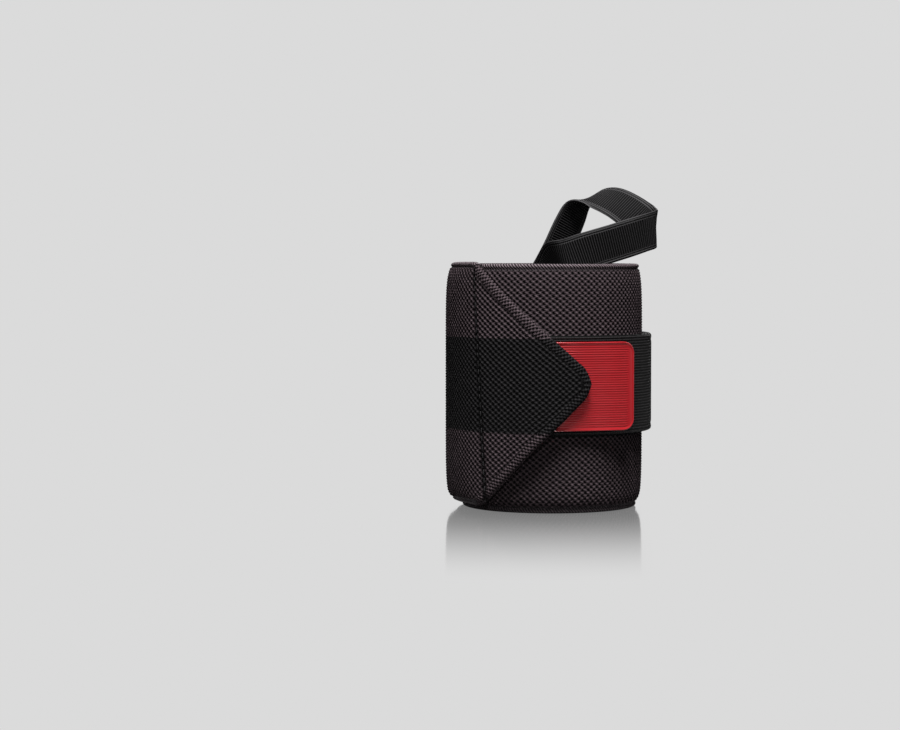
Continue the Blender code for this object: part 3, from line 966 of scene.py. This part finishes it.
def make_tab():
    radius = float(strap_radius(POINT_TIP_ANGLE)) + STRAP_THICKNESS + GAP
    stop = TAB_ROOT_ANGLE + math.degrees(TAB_LENGTH / radius)
    corner = math.degrees(TAB_CORNER / radius)
    flat = TAB_HEIGHT / 2.0
    arc = np.linspace(0.0, np.pi / 2.0, 14)
    outline = np.concatenate(
        [
            [(-0.05, flat), (TAB_LENGTH - TAB_CORNER, flat)],
            np.stack(
                [
                    TAB_LENGTH - TAB_CORNER + TAB_CORNER * np.sin(arc),
                    flat - TAB_CORNER + TAB_CORNER * np.cos(arc),
                ],
                axis=1,
            )[1:],
            [(TAB_LENGTH, 0.0)],
        ]
    )
    rows = []
    for angle in end_stations(TAB_ROOT_ANGLE, stop, 0.9, corner, 14):
        place = math.radians(angle - TAB_ROOT_ANGLE) * radius
        half = float(rounded_end_half(TAB_HEIGHT, TAB_CORNER, TAB_LENGTH - place))
        across, _ = rounded_columns(half, 145, TAB_SIDE_ROUND)
        inside = from_outline(np.stack([np.full_like(across, place), np.abs(across)], axis=1), outline)
        rim = TAB_RIM_RELIEF * (1.0 - smooth(inside, TAB_RIM * 0.7, TAB_RIM * 1.5))
        drop = round_edge(inside, TAB_EDGE_ROUND)
        ridged = smooth(inside, TAB_RIM * 1.4, TAB_RIM * 2.4) * (
            1.0 - smooth(place, TAB_LENGTH - 0.0028, TAB_LENGTH - 0.0015)
        )
        ridges = RIDGE_RELIEF * ridged * (np.cos(2.0 * np.pi * across / RIDGE_PITCH) - 1.0)
        base = (
            strap_radius(angle)
            + STRAP_THICKNESS
            + GAP
            + TAB_SPRING * smooth(angle, POINT_TIP_ANGLE, stop)
        )
        outer = base + TAB_THICKNESS - 0.0001 + rim - drop + ridges
        height = STRAP_HEIGHT - TAB_DROP + across
        level = np.linspace(-half + TAB_SIDE_ROUND, half - TAB_SIDE_ROUND, 9)
        inner_across = np.concatenate([[-half], level, [half]])
        inner_sunk = np.where(np.abs(inner_across) > half - 1e-6, 0.3 * TAB_THICKNESS, 0.0)
        cells = np.stack([np.full_like(height, place), across], axis=1)
        inner_cells = np.stack([np.full_like(inner_across, place), inner_across], axis=1)
        rows.append(
            (
                round_axis(outer, angle, height),
                cells,
                round_axis(base + inner_sunk, angle, STRAP_HEIGHT - TAB_DROP + inner_across),
                inner_cells,
            )
        )
    return skin("rubber_tab", rows, (RUBBER,), None)


# Thumb loop


def core_radius():
    return spiral_radius(BAND_START_ANGLE) - BAND_THICKNESS


def foot_rows(layer, side):
    """The ribbon's sewn foot against the core's wall, from its end up to its free part."""
    wall = core_radius()
    slant = math.radians(LOOP_FOOT_SLANT)
    half_span = (LOOP_WIDTH * math.cos(slant) + LOOP_FOOT_LENGTH * math.sin(slant)) / 2.0
    bow = wall - math.sqrt(wall**2 - half_span**2)
    radius = wall - bow - GAP - LOOP_THICKNESS / 2.0 - layer * (LOOP_THICKNESS + GAP)
    middle = BAND_START_ANGLE + math.degrees(LOOP_WIDTH / wall)
    outward = round_axis(1.0, middle, 0.0) - AXIS
    level = np.cross(outward, (0.0, 0.0, 1.0))
    across = side * (level * math.cos(slant) - np.array((0.0, 0.0, math.sin(slant))))
    swing = math.degrees(math.asin(across[0]))
    lean = math.degrees(math.atan2(across[1], across[2]))
    rows = []
    for along in (-LOOP_FOOT_LENGTH / 2.0, LOOP_FOOT_LENGTH / 2.0):
        height = BAND_WIDTH - LOOP_FOOT_DROP + along * math.cos(slant)
        place = round_axis(radius, middle, height) - AXIS + level * along * math.sin(slant)
        rows.append((*place, lean, swing))
    return rows


def loop_rows():
    course = [
        (side * LOOP_REACH, depth * core_radius(), BAND_WIDTH + height * LOOP_RISE, lean, swing)
        for side, depth, height, lean, swing in LOOP_COURSE
    ]
    return np.array(foot_rows(0, 1.0) + course + foot_rows(1, -1.0)[::-1])


def through(given, count):
    """Evenly spaced rows on one smooth curve through the given ones."""
    steps = np.linalg.norm(np.diff(given[:, :3], axis=0), axis=1)
    places = np.concatenate([[0.0], np.cumsum(steps)])
    slopes = np.gradient(given, places, axis=0)
    wanted = np.linspace(0.0, places[-1], count)
    k = np.minimum(np.searchsorted(places, wanted, side="right") - 1, len(steps) - 1)
    u = ((wanted - places[k]) / steps[k])[:, None]
    span = steps[k][:, None]
    return (
        (2 * u**3 - 3 * u**2 + 1) * given[k]
        + (u**3 - 2 * u**2 + u) * span * slopes[k]
        + (3 * u**2 - 2 * u**3) * given[k + 1]
        + (u**3 - u**2) * span * slopes[k + 1]
    ), places[-1]


def unit(vectors):
    return vectors / np.linalg.norm(vectors, axis=-1, keepdims=True)


def eased(stations, spread):
    """The stations averaged over their neighbours within this many steps, the ends kept."""
    count = len(stations)
    places = np.arange(count)
    reach = np.minimum(spread, np.minimum(places, count - 1 - places) / 2.0 + 0.01)
    weights = np.exp(-(((places[:, None] - places[None, :]) / reach[:, None]) ** 2) / 2.0)
    return (weights / weights.sum(1)[:, None]) @ stations


def make_loop():
    _, rough = through(loop_rows(), 10)
    count = int(rough / LOOP_RIB_PITCH) * STEPS_PER_CELL + 1
    stations, _ = through(loop_rows(), count)
    step = rough / (count - 1)
    places = eased(stations[:, :3], PLACE_EASE / step)
    turns = eased(stations[:, 3:], TURN_EASE / step)
    stations = np.concatenate([places, turns], axis=1)
    centres = stations[:, :3] + AXIS
    along = unit(np.gradient(centres, axis=0))
    travelled = np.concatenate([[0.0], np.cumsum(np.linalg.norm(np.diff(centres, axis=0), axis=1))])
    lean, swing = np.radians(stations[:, 3]), np.radians(stations[:, 4])
    across = np.stack(
        [np.sin(swing), np.cos(swing) * np.sin(lean), np.cos(swing) * np.cos(lean)], axis=1
    )
    across = unit(across - (across * along).sum(1)[:, None] * along)
    out = np.cross(along, across)
    half = LOOP_WIDTH / 2.0
    columns, sunk = rounded_columns(half, 13, LOOP_EDGE_ROUND)
    in_edge = np.abs(columns) > half - LOOP_EDGE
    groove = np.exp(-(((np.abs(columns) - half + LOOP_EDGE) / LOOP_GROOVE_WIDTH) ** 2))
    wall = LOOP_THICKNESS / 2.0
    rows = []
    for i in range(count):
        ripple = LOOP_RIB_RELIEF * math.cos(2.0 * math.pi * travelled[i] / LOOP_RIB_PITCH)
        depth = wall * (1.0 - 2.0 * sunk) - LOOP_GROOVE_DEPTH * groove - LOOP_SINK
        depth = depth + np.where(in_edge, LOOP_EDGE_RELIEF, ripple)
        cells = np.stack(
            [np.full_like(columns, travelled[i] / LOOP_RIB_PITCH), columns / LOOP_WIDTH], axis=1
        )
        flat = centres[i] + columns[:, None] * across[i]
        rows.append((flat + depth[:, None] * out[i], cells, flat - depth[:, None] * out[i], cells))

    def loop_finish(sides, cells):
        return np.abs(cells[:, 1]) > 0.5 - LOOP_EDGE / LOOP_WIDTH

    ribbon = skin("loop_ribbon", rows, (RIBBED, LOOP_SELVAGE), loop_finish)
    return ribbon, float(travelled[-1])


# Pieces

band = make_band()
stitches = make_stitches()
strap = make_strap()
hook_tape, hook_field = make_hook_tape()
tab = make_tab()
loop, loop_length = make_loop()

wrap = [band, stitches, strap, hook_tape, hook_field, tab, loop]

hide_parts("wrap_band")
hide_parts("closure_strap")
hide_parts("hook_tape")
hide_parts("pull_tab")
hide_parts("thumb_loop")


# Floor, backdrop and light

BACKGROUND = 0.708


def glow(name, colour):
    made = bpy.data.materials.new(name)
    made.use_nodes = True
    tree = made.node_tree
    tree.nodes.remove(tree.nodes["Principled BSDF"])
    light = tree.nodes.new("ShaderNodeEmission")
    light.inputs["Color"].default_value = (colour, colour, colour, 1.0)
    tree.links.new(light.outputs[0], tree.nodes["Material Output"].inputs["Surface"])
    return made, tree, light


def make_floor():
    """A pale floor that mirrors the wrap softly close to it, and less further out."""
    bpy.ops.mesh.primitive_circle_add(vertices=96, radius=2.6, fill_type="NGON")
    floor = bpy.context.object
    floor.name = "studio_floor"
    floor.location = (0.0, 0.0, -0.0001)
    made, tree, light = glow("studio_floor", BACKGROUND)
    gloss = tree.nodes.new("ShaderNodeBsdfGlossy")
    gloss.inputs["Color"].default_value = (1.0, 1.0, 1.0, 1.0)
    gloss.inputs["Roughness"].default_value = 0.09
    place = tree.nodes.new("ShaderNodeTexCoord")
    length = tree.nodes.new("ShaderNodeVectorMath")
    length.operation = "LENGTH"
    tree.links.new(place.outputs["Object"], length.inputs[0])
    fade = tree.nodes.new("ShaderNodeMapRange")
    fade.interpolation_type = "SMOOTHSTEP"
    for socket, value in zip(("From Min", "From Max", "To Min", "To Max"), (0.012, 0.19, 0.76, 0.0)):
        fade.inputs[socket].default_value = value
    tree.links.new(length.outputs["Value"], fade.inputs["Value"])
    blend = tree.nodes.new("ShaderNodeMixShader")
    tree.links.new(fade.outputs[0], blend.inputs[0])
    tree.links.new(light.outputs[0], blend.inputs[1])
    tree.links.new(gloss.outputs[0], blend.inputs[2])
    tree.links.new(blend.outputs[0], tree.nodes["Material Output"].inputs["Surface"])
    floor.data.materials.append(made)
    return floor


def make_backdrop():
    bpy.ops.mesh.primitive_uv_sphere_add(segments=48, ring_count=24, radius=2.7)
    backdrop = bpy.context.object
    backdrop.name = "studio_backdrop"
    backdrop.data.materials.append(glow("studio_backdrop", BACKGROUND)[0])
    return backdrop


def softbox(name, place, size, power, aim=(0.0, 0.0, 0.045)):
    lamp = bpy.data.lights.new(name, "AREA")
    lamp.shape = "RECTANGLE"
    lamp.size, lamp.size_y = size
    lamp.energy = power
    made = bpy.data.objects.new(name, lamp)
    made.location = place
    made.rotation_mode = "QUATERNION"
    made.rotation_quaternion = (Vector(place) - Vector(aim)).to_track_quat("Z", "Y")
    made.visible_camera = False
    bpy.context.scene.collection.objects.link(made)
    return made


def only_on(lamp, pieces):
    """This softbox lights these pieces and nothing else."""
    group = bpy.data.collections.new(lamp.name + "_lit")
    for piece in pieces:
        group.objects.link(piece)
    lamp.light_linking.receiver_collection = group


def keep_off(light, pieces):
    """The glow of this object doesn't light these pieces, which the softboxes light."""
    group = bpy.data.collections.new(light.name + "_unlit")
    for piece in pieces:
        group.objects.link(piece)
    for entry in group.collection_objects:
        entry.light_linking.link_state = "EXCLUDE"
    light.light_linking.receiver_collection = group


floor = make_floor()
backdrop = make_backdrop()
for glowing in (floor, backdrop):
    glowing.visible_diffuse = False
    keep_off(glowing, wrap)

world = bpy.data.worlds.new("studio")
world.use_nodes = True
world.node_tree.nodes["Background"].inputs["Color"].default_value = (1.0, 1.0, 1.0, 1.0)
world.node_tree.nodes["Background"].inputs["Strength"].default_value = 0.024
bpy.context.scene.world = world

softbox("key", (0.01, -0.42, 0.90), (0.32, 0.42), 15.0)
softbox("fill", (0.00, -1.3, 0.34), (0.3, 0.5), 3.3)
only_on(softbox("back", (0.00, 1.2, 0.50), (0.9, 0.6), 8.0), wrap)
only_on(softbox("side", (1.1, 0.12, 0.30), (0.35, 0.6), 2.9), [tab, strap, hook_tape, hook_field])

# Camera, set from the photograph: distance from the roll's axis, height, and where the axis and
# the horizon fall in its 900 by 730 frame
CAMERA_DISTANCE = 0.810
CAMERA_HEIGHT = 0.085
FOCAL_PIXELS = 2430.0
FRAME_PIXELS = (900.0, 730.0)
AXIS_PIXEL = 545.4
HORIZON_PIXEL = 250.0
SENSOR_WIDTH = 36.0

yaw = math.atan((AXIS_PIXEL - FRAME_PIXELS[0] / 2.0) / FOCAL_PIXELS)
pitch = math.atan((FRAME_PIXELS[1] / 2.0 - HORIZON_PIXEL) / FOCAL_PIXELS)
look = Vector((-math.sin(yaw) * math.cos(pitch), math.cos(yaw) * math.cos(pitch), -math.sin(pitch)))
lens = bpy.data.cameras.new("camera")
lens.sensor_width = SENSOR_WIDTH
lens.lens = SENSOR_WIDTH * FOCAL_PIXELS / FRAME_PIXELS[0]
lens.clip_start = 0.01
lens.clip_end = 20.0
camera = bpy.data.objects.new("camera", lens)
camera.location = (AXIS[0], AXIS[1] - CAMERA_DISTANCE, CAMERA_HEIGHT)
camera.rotation_mode = "QUATERNION"
camera.rotation_quaternion = look.to_track_quat("-Z", "Y")
bpy.context.scene.collection.objects.link(camera)
bpy.context.scene.camera = camera
bpy.context.scene.view_settings.view_transform = "Standard"
